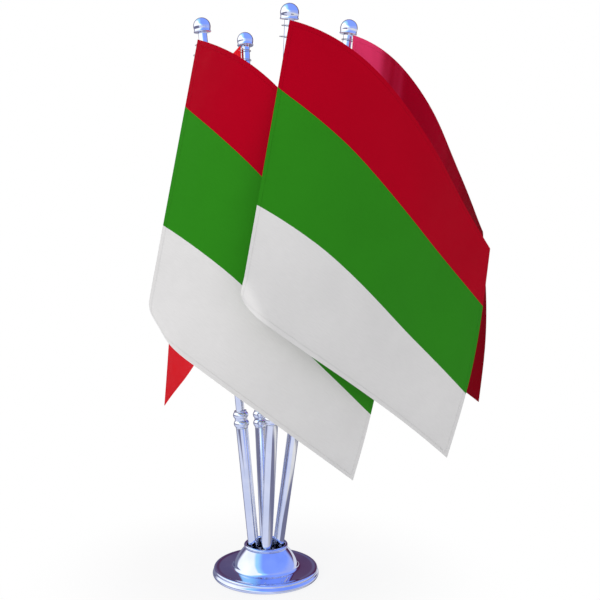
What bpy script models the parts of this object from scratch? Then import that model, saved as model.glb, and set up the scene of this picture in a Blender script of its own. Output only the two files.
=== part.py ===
"""Desk flag stand with four poles.

A round plated base carries four leaning poles. Each pole is a lower tube, a beaded
ferrule and an upper rod with a finial, and one flag hangs beside the rod on two loops.
Metres, +Z up. The origin is the centre of the underside, and -Y is the front.
"""

import math

import bmesh
import bpy
from mathutils import Matrix, Vector

MM = 0.001
GAP = 0.3 * MM  # clearance between pieces that touch
MERGE = 1e-7  # points nearer than this are one point
SHARP_ANGLE = 40.0

# Base shell: a two-ring rim, a flat flange, a dome and an open cup.
FLANGE_RADIUS = 42.0 * MM
FLANGE_TOP = 7.6 * MM
LOWER_RING = 2.1 * MM  # section radius of the rim's lower ring
UPPER_RING = 1.5 * MM  # section radius of the rim's upper ring
UPPER_RING_INSET = 0.9 * MM  # how far the upper ring stands inside the lower one
RIM_WIDTH = 3.6 * MM
SHELL_WALL = 1.5 * MM
DOME_FOOT_RADIUS = 26.0 * MM
DOME_FOOT_Z = 8.4 * MM
DOME_TOP_Z = 23.0 * MM
DOME_BULGE = 0.9 * MM
CUP_LIP = 1.25 * MM  # section radius of the rolled lip
CUP_TOP = 26.0 * MM
CUP_NECK = 0.7 * MM  # depth of the groove under the lip
DOME_STEPS = 4
LOWER_RING_ARC = (-90, 50, 4)  # start and end in degrees from outwards, and steps
UPPER_RING_ARC = (-35, 90, 3)
LIP_ARC = (-50, 180, 6)

# What closes and weights the base.
PAD_THICKNESS = 1.2 * MM
PAD_INSET = 0.6 * MM
BALLAST_EDGE = 0.6 * MM
SOCKET_TOP = 17.5 * MM
SOCKET_CLEARANCE = 0.9 * MM  # between the block and the cup's bore
SOCKET_FOOT_WIDTH = 3.0 * MM  # how far the block's foot stands out
SOCKET_FOOT_HEIGHT = 4.0 * MM
SOCKET_FLOOR = 18.0 * MM  # depth of the pole sockets below the cup's top, along each pole

# Screw that ties the socket block to the ballast.
SCREW_RADIUS = 1.5 * MM
SCREW_HEAD_RADIUS = 2.9 * MM
SCREW_HEAD_HEIGHT = 1.3 * MM
SCREW_TIP_Z = 13.0 * MM
WASHER_RADIUS = 3.6 * MM
WASHER_THICKNESS = 0.5 * MM

# Poles: where each one stands in the cup, which way it leans and how far from upright.
POLE_INSET = 0.7 * MM  # between a tube and the cup's bore
POLE_SPACING = 5.4 * MM  # between neighbouring tubes, at the cup's top
POLE_STANDS = {"left": 183.0, "back": 93.0, "front": 273.0, "right": 3.0}
POLE_HEADINGS = {"left": 173.0, "back": 112.0, "front": 285.0, "right": 356.0}
POLE_LEANS = {"left": 5.9, "back": 7.3, "front": 7.3, "right": 7.1}

ROD_RADIUS = 3.3 * MM
ROD_WALL = 0.8 * MM
ROD_LENGTH = 333.6 * MM
SPIGOT = 30.0 * MM  # length of rod inside the tube
TUBE_LENGTH = 117.7 * MM
TUBE_EXTRAS = {"left": 0.0, "back": -4.0 * MM, "front": 9.0 * MM, "right": 0.0}  # over that length
TUBE_WALL = 0.7 * MM
TUBE_FLARE = 0.4 * MM  # how much wider the tube is at its top
TUBE_NECK_WALL = 0.5 * MM  # wall of the tube inside the ferrule
TUBE_SHOULDER = 0.7 * MM  # step in the tube's bore that the rod stands on

FERRULE_WALL = 0.5 * MM
FERRULE_BEAD = 1.1 * MM  # how far each bead stands out
FERRULE_HEIGHT = 13.6 * MM
FERRULE_OVERLAP = 6.6 * MM  # how far the ferrule comes down over the tube
BEAD_STEPS = 4

FINIAL_BALL = 6.5 * MM
FINIAL_BRIM = 0.1 * MM  # how far the brim stands out past the ball
FINIAL_WAIST = 0.4 * MM  # depth of the groove between brim and ball
FINIAL_HEIGHT = 11.0 * MM
FINIAL_BRIM_HEIGHT = 1.6 * MM
FINIAL_STEM = 11.0 * MM  # length of the stem that goes down inside the rod
FINIAL_CAP_DEPTH = 6.5 * MM  # how far the rod goes up into the finial
BALL_ARC = (-10, 90, 5)

# Flags and the loops that carry them.
CLOTH = 1.2 * MM
LOOP_CORD = 0.4 * MM  # section radius
LOOP_ARC = (0, 300, 5)
LOOP_DROPS = (3.5 * MM, 11.0 * MM)  # from the flag's upper corner down to each loop
PASSING_DEPTH = 64.2 * MM  # between the hoists of the left flag and of the flag it passes behind
PASSING_WIDTH = 67.27 * MM  # the same, from side to side
FLAG_ROWS = 9
FLAG_COLUMNS = 13

BASE_STEPS = 40
TURN_STEPS = 16
LOOP_STEPS = 16


def point(*values):
    """A vector given in millimetres."""
    return Vector(values) * MM


# Each flag's corners and edge handles, counted from its upper hoist corner. "drop" is how
# far that corner hangs below the finial, and "side" is the way from the rod to the hoist.
FLAGS = {
    "front": {
        "side": 272.0,
        "drop": 1.3 * MM,
        "top": (point(72, -12, -18), point(106, 28, -88), point(163, 88, -159)),
        "foot": point(-33, -18, -194),
        "bottom": (point(12, -8, -231), point(68, 58, -270), point(142, 130, -342)),
        "curl": 1.0,
    },
    "left": {
        "side": 228.0,
        "drop": 6.0 * MM,
        "top": (point(79, -114, -35), point(99, -44, -102), point(151, -2, -172)),
        "foot": point(-37, -34, -213),
        "bottom": (point(18, -72, -248), point(63, -38, -286), point(124, 25, -346)),
        "curl": 1.0,
        "passes": "front",
    },
    "back": {
        "side": 225.0,
        "drop": 0.6 * MM,
        "top": (point(-36, 61, -25), point(-60, 131, -74), point(-78, 191, -137)),
        "foot": point(9, -25, -197),
        "bottom": (point(-19, 71, -237), point(-48, 141, -285), point(-85, 211, -340)),
        "curl": 0.0,
    },
    "right": {
        "side": 310.0,
        "drop": 1.2 * MM,
        "top": (point(62, 32, -12), point(91, 97, -80), point(138, 157, -150)),
        "foot": point(-10, 0, -193),
        "bottom": (point(30, 52, -227), point(84, 132, -268), point(148, 202, -320)),
        "curl": 0.0,
    },
}
FLY_BOW = 5.0 * MM
CURL_RADIUS = 13.0 * MM
CURL_REACH = 20.0 * MM  # how far the curl comes in from the lower hoist corner
CURL_TURN = math.radians(64.0)  # direction of the curl, from the bottom edge towards the hoist
CURL_PROBE = 0.02  # share of the flag over which its slope is measured


def clear_scene():
    for old in list(bpy.data.objects):
        bpy.data.objects.remove(old)


def material(name, colour, roughness, metallic=0.0):
    made = bpy.data.materials.new(name)
    made.use_nodes = True
    shader = made.node_tree.nodes["Principled BSDF"]
    shader.inputs["Base Color"].default_value = (*colour, 1.0)
    shader.inputs["Roughness"].default_value = roughness
    shader.inputs["Metallic"].default_value = metallic
    return made


def add(name, mesh, look, parent=None):
    made = bpy.data.objects.new(name, mesh)
    made.data.materials.append(look)
    made.parent = parent
    bpy.context.collection.objects.link(made)
    return made


def arc(radius, height, section, sweep):
    """Points (radius, height) on a circular arc, its angles in degrees from outwards."""
    start, end, steps = sweep
    angles = [math.radians(start + (end - start) * i / steps) for i in range(steps + 1)]
    return [(radius + section * math.cos(a), height + section * math.sin(a)) for a in angles]


def turned(name, profile, steps, closed=True):
    """A mesh spun from points (radius, height). An open profile begins and ends on the axis."""
    form = bmesh.new()
    points = [form.verts.new((max(radius, 0.0), 0.0, height)) for radius, height in profile]
    pairs = list(zip(points, points[1:]))
    if closed:
        pairs.append((points[-1], points[0]))
    edges = [form.edges.new(pair) for pair in pairs]
    bmesh.ops.spin(
        form,
        geom=points + edges,
        axis=(0, 0, 1),
        cent=(0, 0, 0),
        angle=math.tau,
        steps=steps,
        use_merge=True,
    )
    bmesh.ops.remove_doubles(form, verts=form.verts, dist=MERGE)
    bmesh.ops.recalc_face_normals(form, faces=form.faces)
    mesh = bpy.data.meshes.new(name)
    form.to_mesh(mesh)
    form.free()
    mesh.shade_smooth()
    mesh.set_sharp_from_angle(angle=math.radians(SHARP_ANGLE))
    return mesh


def cut(target, cutter):
    """Takes the cutter's shape out of the target."""
    cutter.hide_render = True
    cutter.display_type = "WIRE"
    boolean = target.modifiers.new(cutter.name, "BOOLEAN")
    boolean.operation = "DIFFERENCE"
    boolean.solver = "EXACT"
    boolean.object = cutter


# Places that the pieces share.
PAD_RADIUS = FLANGE_RADIUS - RIM_WIDTH - PAD_INSET
FLANGE_UNDERSIDE = FLANGE_TOP - SHELL_WALL
BALLAST_BOTTOM = PAD_THICKNESS + GAP
BALLAST_TOP = FLANGE_UNDERSIDE - GAP
SOCKET_BOTTOM = BALLAST_TOP + GAP
HEAD_TOP = BALLAST_BOTTOM + SCREW_HEAD_HEIGHT
WASHER_BOTTOM = HEAD_TOP + GAP
COUNTERBORE_TOP = WASHER_BOTTOM + WASHER_THICKNESS + GAP

# Radii of a pole, each from the one inside it.
ROD_BORE = ROD_RADIUS - ROD_WALL
ROD_CLEARANCE = ROD_RADIUS + GAP
TUBE_FOOT_RADIUS = ROD_CLEARANCE + TUBE_WALL
TUBE_TOP_RADIUS = TUBE_FOOT_RADIUS + TUBE_FLARE
TUBE_NECK_RADIUS = ROD_CLEARANCE + TUBE_NECK_WALL
FERRULE_SEAT = TUBE_NECK_RADIUS + GAP
FERRULE_WAIST = FERRULE_SEAT + FERRULE_WALL
FERRULE_RADIUS = FERRULE_WAIST + FERRULE_BEAD
HOIST_OFFSET = ROD_CLEARANCE + 2 * LOOP_CORD + 2 * GAP + CLOTH / 2

# The cup is as wide as its four poles need.
POLE_CIRCLE = (TUBE_FOOT_RADIUS + POLE_SPACING / 2) * math.sqrt(2)
CUP_BORE = POLE_CIRCLE + TUBE_FOOT_RADIUS + POLE_INSET
CUP_LIP_RADIUS = CUP_BORE + CUP_LIP
CUP_NECK_RADIUS = CUP_LIP_RADIUS + CUP_LIP - CUP_NECK
SOCKET_RADIUS = CUP_BORE - SOCKET_CLEARANCE
SOCKET_FOOT_RADIUS = SOCKET_RADIUS + SOCKET_FOOT_WIDTH

# Distances along a pole, from the cup's top.
TUBE_BOTTOM = GAP - SOCKET_FLOOR
TUBE_TOP = TUBE_BOTTOM + TUBE_LENGTH
FERRULE_BOTTOM = TUBE_TOP - FERRULE_OVERLAP
FERRULE_TOP = FERRULE_BOTTOM + FERRULE_HEIGHT
ROD_BOTTOM = TUBE_TOP - SPIGOT
ROD_TOP = ROD_BOTTOM + ROD_LENGTH
FINIAL_BOTTOM = ROD_TOP - FINIAL_CAP_DEPTH


def pole_frame(pole):
    """The matrix that takes a pole's own +Z axis to its place in the cup."""
    stand = math.radians(POLE_STANDS[pole])
    heading = math.radians(POLE_HEADINGS[pole])
    lean = math.radians(POLE_LEANS[pole])
    foot = Vector((POLE_CIRCLE * math.cos(stand), POLE_CIRCLE * math.sin(stand), CUP_TOP))
    return Matrix.Translation(foot) @ Matrix.Rotation(heading, 4, "Z") @ Matrix.Rotation(lean, 4, "Y")


def base_shell(look):
    rim_foot = PAD_THICKNESS / 2
    lower = arc(FLANGE_RADIUS - LOWER_RING, rim_foot + LOWER_RING, LOWER_RING, LOWER_RING_ARC)
    upper_radius = FLANGE_RADIUS - UPPER_RING_INSET - UPPER_RING
    upper = arc(upper_radius, FLANGE_TOP - UPPER_RING, UPPER_RING, UPPER_RING_ARC)
    rise = Vector((CUP_NECK_RADIUS - DOME_FOOT_RADIUS, DOME_TOP_Z - DOME_FOOT_Z))
    outward = Vector((rise.y, -rise.x)).normalized()
    dome = []
    for i in range(DOME_STEPS + 1):
        share = i / DOME_STEPS
        bulge = outward * DOME_BULGE * math.sin(math.pi * share)
        dome.append(Vector((DOME_FOOT_RADIUS, DOME_FOOT_Z)) + rise * share + bulge)
    lip = arc(CUP_LIP_RADIUS, CUP_TOP - CUP_LIP, CUP_LIP, LIP_ARC)
    inside = [spot - outward * SHELL_WALL for spot in dome]
    inside = [spot for spot in inside if spot.y > FLANGE_UNDERSIDE]
    throat = (CUP_BORE, inside[-1].y)
    rim_inner = FLANGE_RADIUS - RIM_WIDTH
    under = [(inside[0].x, FLANGE_UNDERSIDE), (rim_inner, FLANGE_UNDERSIDE), (rim_inner, rim_foot)]
    profile = lower + upper + dome + lip + [throat] + inside[::-1] + under
    return add("base_shell", turned("base_shell", profile, BASE_STEPS), look)


def base_pad(look):
    profile = [(0, 0), (PAD_RADIUS, 0), (PAD_RADIUS, PAD_THICKNESS), (0, PAD_THICKNESS)]
    return add("base_pad", turned("base_pad", profile, BASE_STEPS, closed=False), look)


def ballast_plate(look):
    edge = FLANGE_RADIUS - RIM_WIDTH - GAP
    profile = [
        (WASHER_RADIUS + GAP, BALLAST_BOTTOM),
        (edge - BALLAST_EDGE, BALLAST_BOTTOM),
        (edge, BALLAST_BOTTOM + BALLAST_EDGE),
        (edge, BALLAST_TOP),
        (SCREW_RADIUS + GAP, BALLAST_TOP),
        (SCREW_RADIUS + GAP, COUNTERBORE_TOP),
        (WASHER_RADIUS + GAP, COUNTERBORE_TOP),
    ]
    return add("ballast_plate", turned("ballast_plate", profile, BASE_STEPS), look)


def clamp_screw(look):
    profile = [
        (0, BALLAST_BOTTOM),
        (SCREW_HEAD_RADIUS, BALLAST_BOTTOM),
        (SCREW_HEAD_RADIUS, HEAD_TOP),
        (SCREW_RADIUS, HEAD_TOP),
        (SCREW_RADIUS, SCREW_TIP_Z - SCREW_RADIUS),
        (SCREW_RADIUS / 2, SCREW_TIP_Z),
        (0, SCREW_TIP_Z),
    ]
    return add("clamp_screw", turned("clamp_screw", profile, TURN_STEPS, closed=False), look)


def clamp_washer(look):
    bore = SCREW_RADIUS + GAP
    top = WASHER_BOTTOM + WASHER_THICKNESS
    profile = [(bore, WASHER_BOTTOM), (WASHER_RADIUS, WASHER_BOTTOM), (WASHER_RADIUS, top), (bore, top)]
    return add("clamp_washer", turned("clamp_washer", profile, TURN_STEPS), look)


def socket_block(look):
    shoulder = SOCKET_BOTTOM + SOCKET_FOOT_HEIGHT
    profile = [
        (SCREW_RADIUS + GAP, SOCKET_BOTTOM),
        (SOCKET_FOOT_RADIUS, SOCKET_BOTTOM),
        (SOCKET_FOOT_RADIUS, shoulder),
        (SOCKET_RADIUS, shoulder + SOCKET_FOOT_RADIUS - SOCKET_RADIUS),
        (SOCKET_RADIUS, SOCKET_TOP),
        (0, SOCKET_TOP),
        (0, SCREW_TIP_Z + GAP),
        (SCREW_RADIUS + GAP, SCREW_TIP_Z + GAP),
    ]
    block = add("socket_block", turned("socket_block", profile, BASE_STEPS), look)
    reach = TUBE_FOOT_RADIUS + GAP
    outline = [(0, 0), (reach, 0), (reach, SOCKET_FLOOR), (0, SOCKET_FLOOR)]
    hole = turned("socket_cutter", outline, TURN_STEPS, closed=False)
    for pole in POLE_STANDS:
        cutter = add("socket_cutter_" + pole, hole, look)
        cutter.matrix_world = pole_frame(pole) @ Matrix.Translation((0, 0, -SOCKET_FLOOR))
        cut(block, cutter)
    return block


def tube_mesh(extra):
    passage = ROD_CLEARANCE - TUBE_SHOULDER
    rod_seat = ROD_BOTTOM - GAP + extra
    ferrule_seat = FERRULE_BOTTOM - GAP + extra
    profile = [
        (passage, TUBE_BOTTOM),
        (TUBE_FOOT_RADIUS, TUBE_BOTTOM),
        (TUBE_FOOT_RADIUS, 0),
        (TUBE_TOP_RADIUS, ferrule_seat),
        (TUBE_NECK_RADIUS, ferrule_seat),
        (TUBE_NECK_RADIUS, TUBE_TOP + extra),
        (ROD_CLEARANCE, TUBE_TOP + extra),
        (ROD_CLEARANCE, rod_seat),
        (passage, rod_seat),
    ]
    return turned("lower_tube", profile, TURN_STEPS)


def ferrule_mesh():
    bead = FERRULE_HEIGHT / 4
    centre = FERRULE_RADIUS - bead
    spread = math.degrees(math.acos((FERRULE_WAIST - centre) / bead))
    profile = [(FERRULE_SEAT, FERRULE_BOTTOM), (FERRULE_WAIST, FERRULE_BOTTOM)]
    for middle in (FERRULE_BOTTOM + bead, FERRULE_TOP - bead):
        profile += arc(centre, middle, bead, (-spread, spread, BEAD_STEPS))
    profile += [
        (FERRULE_WAIST, FERRULE_TOP),
        (ROD_CLEARANCE, FERRULE_TOP),
        (ROD_CLEARANCE, TUBE_TOP + GAP),
        (FERRULE_SEAT, TUBE_TOP + GAP),
    ]
    return turned("ferrule", profile, TURN_STEPS)


def rod_mesh(extra):
    bottom = ROD_BOTTOM + extra
    profile = [(ROD_BORE, bottom), (ROD_RADIUS, bottom), (ROD_RADIUS, ROD_TOP), (ROD_BORE, ROD_TOP)]
    return turned("upper_rod", profile, TURN_STEPS)


def finial_mesh():
    stem = ROD_BORE - GAP
    cap = ROD_TOP + GAP
    ball_centre = FINIAL_BOTTOM + FINIAL_HEIGHT - FINIAL_BALL
    brim = FINIAL_BALL + FINIAL_BRIM
    profile = [(0, cap - FINIAL_STEM), (stem, cap - FINIAL_STEM), (stem, cap)]
    profile += [(ROD_CLEARANCE, cap), (ROD_CLEARANCE, FINIAL_BOTTOM), (brim, FINIAL_BOTTOM)]
    profile += [(brim, FINIAL_BOTTOM + FINIAL_BRIM_HEIGHT / 2)]
    profile += [(FINIAL_BALL - FINIAL_WAIST, FINIAL_BOTTOM + FINIAL_BRIM_HEIGHT)]
    profile += arc(0, ball_centre, FINIAL_BALL, BALL_ARC)
    return turned("finial", profile, TURN_STEPS, closed=False)


def bezier(ends, handles, share):
    start, end = ends
    rest = 1 - share
    return (
        start * rest**3
        + handles[0] * 3 * rest**2 * share
        + handles[1] * 3 * rest * share**2
        + end * share**3
    )


def flag_corner(pole):
    """The upper hoist corner, beside the rod."""
    flag = FLAGS[pole]
    frame = pole_frame(pole)
    axis = frame @ Vector((0, 0, FINIAL_BOTTOM - flag["drop"]))
    side = math.radians(flag["side"])
    return axis + Vector((math.cos(side), math.sin(side), 0)) * HOIST_OFFSET


def flag_spot(pole, across, down):
    """A point on the flag's middle surface, both shares running from 0 to 1."""
    flag = FLAGS[pole]
    corner = flag_corner(pole)
    top = bezier((Vector((0, 0, 0)), flag["top"][2]), flag["top"], across)
    bottom = bezier((flag["foot"], flag["bottom"][2]), flag["bottom"], across)
    spot = top.lerp(bottom, down)
    spot.x += FLY_BOW * math.sin(math.pi * down) * across
    if "passes" in flag:
        passed = flag_corner(flag["passes"])
        spot.x *= (passed.x - corner.x) / PASSING_WIDTH
        spot.y *= (corner.y - passed.y) / PASSING_DEPTH
    return corner + spot


def curled(pole, across, down):
    """The same point, with the lower hoist corner rolled away from the flag's face."""
    spot = flag_spot(pole, across, down)
    flag = FLAGS[pole]
    hoist = flag["foot"].length
    length = (flag["bottom"][2] - flag["foot"]).length
    depth = across * length * math.cos(CURL_TURN) + (1 - down) * hoist * math.sin(CURL_TURN)
    past = (CURL_REACH - depth) * flag["curl"]
    if past <= 0:
        return spot
    along = (flag_spot(pole, across + CURL_PROBE, down) - spot).normalized()
    upward = (spot - flag_spot(pole, across, down + CURL_PROBE)).normalized()
    inward = (along * math.cos(CURL_TURN) + upward * math.sin(CURL_TURN)).normalized()
    back = upward.cross(along).normalized()
    if back.y < 0:
        back.negate()
    turn = past / CURL_RADIUS
    return spot + inward * (past - CURL_RADIUS * math.sin(turn)) + back * CURL_RADIUS * (1 - math.cos(turn))


def flag_mesh(pole):
    """The flag's middle surface, in its pole's own frame."""
    to_pole = pole_frame(pole).inverted()
    form = bmesh.new()
    grid = []
    for row in range(FLAG_ROWS + 1):
        down = row / FLAG_ROWS
        line = [curled(pole, column / FLAG_COLUMNS, down) for column in range(FLAG_COLUMNS + 1)]
        grid.append([form.verts.new(to_pole @ spot) for spot in line])
    for upper, lower in zip(grid, grid[1:]):
        for column in range(FLAG_COLUMNS):
            form.faces.new((upper[column], lower[column], lower[column + 1], upper[column + 1]))
    bmesh.ops.recalc_face_normals(form, faces=form.faces)
    mesh = bpy.data.meshes.new("flag_" + pole)
    form.to_mesh(mesh)
    form.free()
    mesh.shade_smooth()
    return mesh


def flag_loop(pole, number, axis, look):
    """A cord ring round the rod that reaches the back of the flag's hoist."""
    to_pole = pole_frame(pole).inverted()
    upper = to_pole @ flag_spot(pole, 0, 0)
    lower = to_pole @ flag_spot(pole, 0, 1)
    drop = LOOP_DROPS[number]
    hoist = upper.lerp(lower, drop / (upper.z - lower.z))
    far = ROD_RADIUS + GAP + LOOP_CORD
    near = math.hypot(hoist.x, hoist.y) - CLOTH / 2 - 2 * GAP - LOOP_CORD
    ring = arc((far + near) / 2, 0, LOOP_CORD, LOOP_ARC)
    loop = add(f"flag_loop_{pole}_{number + 1}", turned("flag_loop", ring, LOOP_STEPS), look, axis)
    loop.location = hoist.xy.normalized().to_3d() * (near - far) / 2
    loop.location.z = upper.z - drop


def pole_pieces(pole, meshes, looks):
    """One pole: the tube and ferrule stay, the rod and finial lift out, the flag turns on the rod."""
    axis = bpy.data.objects.new("axis_" + pole, None)
    bpy.context.collection.objects.link(axis)
    axis.matrix_world = pole_frame(pole)
    extra = TUBE_EXTRAS[pole]
    add("lower_tube_" + pole, tube_mesh(extra), looks["chrome"], axis)
    ferrule = add("ferrule_" + pole, meshes["ferrule"], looks["chrome"], axis)
    ferrule.location.z = extra
    add("upper_rod_" + pole, rod_mesh(extra), looks["chrome"], axis)
    add("finial_" + pole, meshes["finial"], looks["chrome"], axis)
    for number in range(len(LOOP_DROPS)):
        flag_loop(pole, number, axis, looks["cord"])
    flag = add("flag_" + pole, flag_mesh(pole), looks["flag_" + pole], axis)
    solid = flag.modifiers.new("cloth", "SOLIDIFY")
    solid.thickness = CLOTH
    solid.offset = 0
    solid.use_even_offset = True


def build():
    clear_scene()
    looks = {
        "chrome": material("chrome", (0.78, 0.8, 0.84), 0.06, 1.0),
        "block": material("socket_block", (0.26, 0.3, 0.52), 0.35),
        "ballast": material("ballast", (0.12, 0.12, 0.13), 0.6, 0.8),
        "felt": material("felt", (0.02, 0.02, 0.025), 0.95),
        "steel": material("steel", (0.5, 0.5, 0.52), 0.3, 1.0),
        "cord": material("cord", (0.4, 0.42, 0.48), 0.8),
        "flag_front": material("flag_front", (0.04, 0.22, 0.02), 0.6),
        "flag_left": material("flag_left", (0.04, 0.22, 0.02), 0.6),
        "flag_back": material("flag_back", (0.68, 0.01, 0.02), 0.5),
        "flag_right": material("flag_right", (0.68, 0.01, 0.04), 0.4),
    }
    base_shell(looks["chrome"])
    base_pad(looks["felt"])
    ballast_plate(looks["ballast"])
    clamp_screw(looks["steel"])
    clamp_washer(looks["steel"])
    socket_block(looks["block"])
    meshes = {"ferrule": ferrule_mesh(), "finial": finial_mesh()}
    for pole in POLE_STANDS:
        pole_pieces(pole, meshes, looks)


build()
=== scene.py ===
"""Looks of the desk flag stand: fine turned chrome, cord loops and hemmed satin flags.

Everything is in metres in the part's own frame, with z up. Sizes repeat those of part.py.
"""

import math

import bmesh
import bpy
from mathutils import Matrix, Vector


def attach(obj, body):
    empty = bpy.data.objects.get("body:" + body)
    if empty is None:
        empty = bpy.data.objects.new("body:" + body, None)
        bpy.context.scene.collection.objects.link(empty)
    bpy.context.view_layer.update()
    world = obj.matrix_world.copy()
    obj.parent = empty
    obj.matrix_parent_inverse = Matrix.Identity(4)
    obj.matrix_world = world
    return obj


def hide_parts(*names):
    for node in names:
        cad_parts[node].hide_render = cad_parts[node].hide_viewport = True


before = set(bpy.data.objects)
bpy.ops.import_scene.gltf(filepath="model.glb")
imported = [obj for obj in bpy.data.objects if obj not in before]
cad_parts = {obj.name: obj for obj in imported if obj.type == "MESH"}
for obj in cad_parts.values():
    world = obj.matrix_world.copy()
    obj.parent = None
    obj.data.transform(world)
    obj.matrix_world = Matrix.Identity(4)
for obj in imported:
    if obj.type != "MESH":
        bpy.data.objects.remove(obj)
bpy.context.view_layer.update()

MM = 0.001
GAP = 0.3 * MM  # clearance between pieces that touch
ON_AXIS = 1e-6  # a point nearer its axis than this is on it
SHARP_EDGE = 38.0  # degrees at which an edge of a turned piece is shown sharp
SHARP_CLOTH_EDGE = 60.0  # the same for cloth and cord
WHITE = (1.0, 1.0, 1.0, 1.0)
BLACK = (0.0, 0.0, 0.0, 1.0)

# Base. An arc holds its start and end in degrees from outwards, and its steps.
FLANGE_RADIUS = 42.0 * MM
FLANGE_TOP = 7.6 * MM
LOWER_RING = 2.1 * MM  # section radius of the rim's lower ring
LOWER_RING_ARC = (-90, 50, 18)
UPPER_RING = 1.5 * MM  # section radius of the rim's upper ring
UPPER_RING_ARC = (-35, 90, 14)
UPPER_RING_INSET = 0.9 * MM  # how far the upper ring stands inside the lower one
DISH_INSET = 1.4 * MM  # from the middle of the upper ring in to the dish in the flange
DISH_SLOPE = 0.5 * MM  # width of the slope that goes down into the dish
DISH_DEPTH = 0.25 * MM
DISH_RISE = 0.3 * MM  # how far the dish rises again towards the dome
DISH_STEPS = 7
RIM_WIDTH = 3.6 * MM
RIM_FOOT = 0.6 * MM
SHELL_WALL = 1.5 * MM
DOME_FOOT_RADIUS = 26.0 * MM
DOME_FOOT_Z = 8.4 * MM
DOME_TOP_Z = 23.0 * MM
DOME_BULGE = 0.9 * MM
DOME_STEPS = 24
DOME_FIRST_STEP = 3  # the fillet takes the place of the steps below it
FILLET_WIDTH = 1.6 * MM
FILLET_UNDERCUT = 0.2 * MM
FILLET_STEPS = 8
SHELL_INNER_FOOT = 1.2 * MM  # the shell's inner face begins this far above the dome's foot
CUP_BORE = 14.9 * MM
CUP_LIP = 1.25 * MM  # section radius of the rolled lip
CUP_LIP_ARC = (-50, 180, 26)
CUP_TOP = 26.0 * MM
CUP_NECK = 0.7 * MM  # depth of the groove under the lip
SOCKET_FLOOR = 18.0 * MM  # depth of the pole sockets below the cup's top, along each pole
BASE_TURNS = 144

# Poles. Each stands on a circle at the cup's top. Angles are in degrees.
POLE_CIRCLE = 9.9 * MM
POLE_STANDS = {"left": 183.0, "back": 93.0, "front": 273.0, "right": 3.0}
POLE_HEADINGS = {"left": 173.0, "back": 112.0, "front": 285.0, "right": 356.0}
POLE_LEANS = {"left": 5.9, "back": 7.3, "front": 7.3, "right": 7.1}
ROD_RADIUS = 3.3 * MM
ROD_BORE = 2.5 * MM
ROD_CLEARANCE = ROD_RADIUS + GAP
TUBE_FOOT_RADIUS = 4.3 * MM
TUBE_TOP_RADIUS = 4.7 * MM
TUBE_NECK_RADIUS = 4.1 * MM
TUBE_PASSAGE = 2.9 * MM
TUBE_LENGTH = 117.7 * MM
TUBE_EXTRAS = {"left": 0.0, "back": -4.0 * MM, "front": 9.0 * MM, "right": 0.0}  # over that length
TUBE_EASE = 0.25 * MM  # rounding of the tube's corners
TUBE_BOTTOM = GAP - SOCKET_FLOOR
TUBE_TOP = TUBE_BOTTOM + TUBE_LENGTH
FERRULE_RADIUS = 6.0 * MM
FERRULE_WAIST = 4.9 * MM
FERRULE_SEAT = 4.4 * MM
FERRULE_HEIGHT = 13.6 * MM
FERRULE_OVERLAP = 6.6 * MM  # how far the ferrule comes down over the tube
FERRULE_EASE = 0.2 * MM
FERRULE_BOTTOM = TUBE_TOP - FERRULE_OVERLAP
FERRULE_TOP = FERRULE_BOTTOM + FERRULE_HEIGHT
BEAD_STEPS = 18
ROD_LENGTH = 333.6 * MM
SPIGOT = 30.0 * MM  # length of rod inside the tube
ROD_EASE = 0.3 * MM
ROD_BOTTOM = TUBE_TOP - SPIGOT
ROD_TOP = ROD_BOTTOM + ROD_LENGTH
FINIAL_CAP_DEPTH = 6.5 * MM  # how far the rod goes up into the finial
FINIAL_BOTTOM = ROD_TOP - FINIAL_CAP_DEPTH
FINIAL_HEIGHT = 11.0 * MM
FINIAL_BALL = 6.5 * MM
FINIAL_BALL_ARC = (-14, 90, 30)
FINIAL_BRIM = 6.6 * MM
FINIAL_BRIM_HEIGHT = 1.6 * MM
FINIAL_BRIM_ARC = (-90, 70, 12)
FINIAL_WAIST = 6.1 * MM
FINIAL_GROOVE = 0.15 * MM  # height of the groove between brim and ball
FINIAL_GROOVE_SLOPE = 0.1 * MM
FINIAL_STEM = 11.0 * MM  # length of the stem that goes down inside the rod
FINIAL_STEM_BEVEL = 0.4 * MM
TURNS = 72

# Flags.
HOIST = 0.200  # flat height of the cloth
FLY = 0.260  # flat length of the cloth
HOIST_GAP = 2.0 * MM  # between the rod's clearance and the hoist
HOIST_OFFSET = ROD_CLEARANCE + HOIST_GAP
CLOTH = 0.36 * MM
HEM = 4.5 * MM
HEM_STEP = 1.2 * MM  # over which the hem's extra layers thin out
HEM_LAYERS = 1.5  # thickness of the hem over the plain cloth
FLAG_ROWS = 60
FLAG_COLUMNS = 84
RIPPLE = 0.7 * MM
PASSING_DEPTH = 64.2 * MM  # between the hoists of the left flag and of the flag it passes behind
PASSING_WIDTH = 67.27 * MM  # the same, from side to side
FLY_BOW = 5.0 * MM  # how far the middle of the fly edge stands out
CURL_RADIUS = 13.0 * MM
CURL_REACH = 20.0 * MM  # from the lower hoist corner to where the curl begins
CURL_TURN = math.radians(64.0)  # direction of the curl, from along the lower edge
CURL_PROBE = 0.02  # share of the flag over which its directions are measured
STRIPES = (0.255, 0.67)  # shares of the hoist where the red and the green stripe end
STRIPE_EDGE = 0.0002  # half the width over which one stripe turns into the next, as such a share
STITCH_LINE = HEM - 1.0 * MM  # how far the hem's seam lies from the edge
STITCH_PITCH = 2.4 * MM
THREAD_PITCH = 0.55 * MM

# Loops of three-strand twisted cord.
LOOP_DROPS = (3.5 * MM, 11.0 * MM)  # from the flag's upper corner down to each loop
LOOP_STRAND = 0.15 * MM  # section radius of one strand
LOOP_STRANDS = 3
LOOP_LAY = LOOP_STRAND * 1.12  # from the cord's centre line to that of each strand
LOOP_TWISTS = 14
LOOP_STEPS = 180
LOOP_SIDES = 8
LOOP_BITE = 0.1 * MM  # the loop stops this far short of the hoist

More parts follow.
